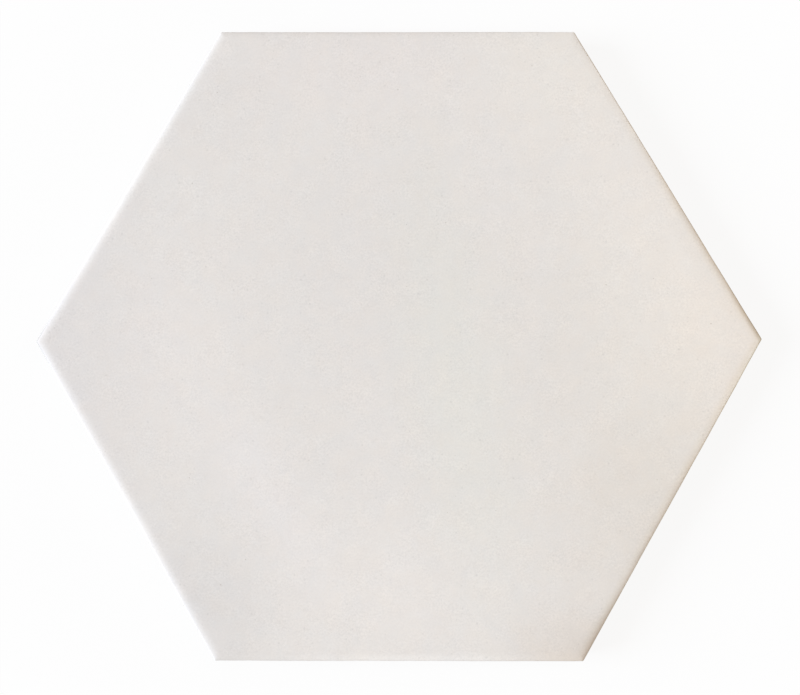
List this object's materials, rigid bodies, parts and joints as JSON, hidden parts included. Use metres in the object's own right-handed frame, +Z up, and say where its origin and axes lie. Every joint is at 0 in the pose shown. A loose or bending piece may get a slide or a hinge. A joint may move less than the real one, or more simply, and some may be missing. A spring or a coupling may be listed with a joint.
{
  "type": "hexagon floor tile",
  "caption": "Flat regular-hexagon floor tile with an off-white matt glazed face, a softly rounded rim, and a back of shallow hexagonal recesses between ribs that key into adhesive.",
  "frame": {"origin": "middle of the back, on the plane that the ribs and the border rest on", "axes": "+Z up out of the glazed face, +X through one of the six corners, so +Y is square to a side"},
  "size_m": [0.1998, 0.1732, 0.009],
  "materials": {
    "glazed_tile": "off-white matt glaze with a fine grain on the face, unglazed walls and back"
  },
  "bodies": {
    "root": {"hexagon_tile": "glazed_tile"}
  },
  "joints": []
}
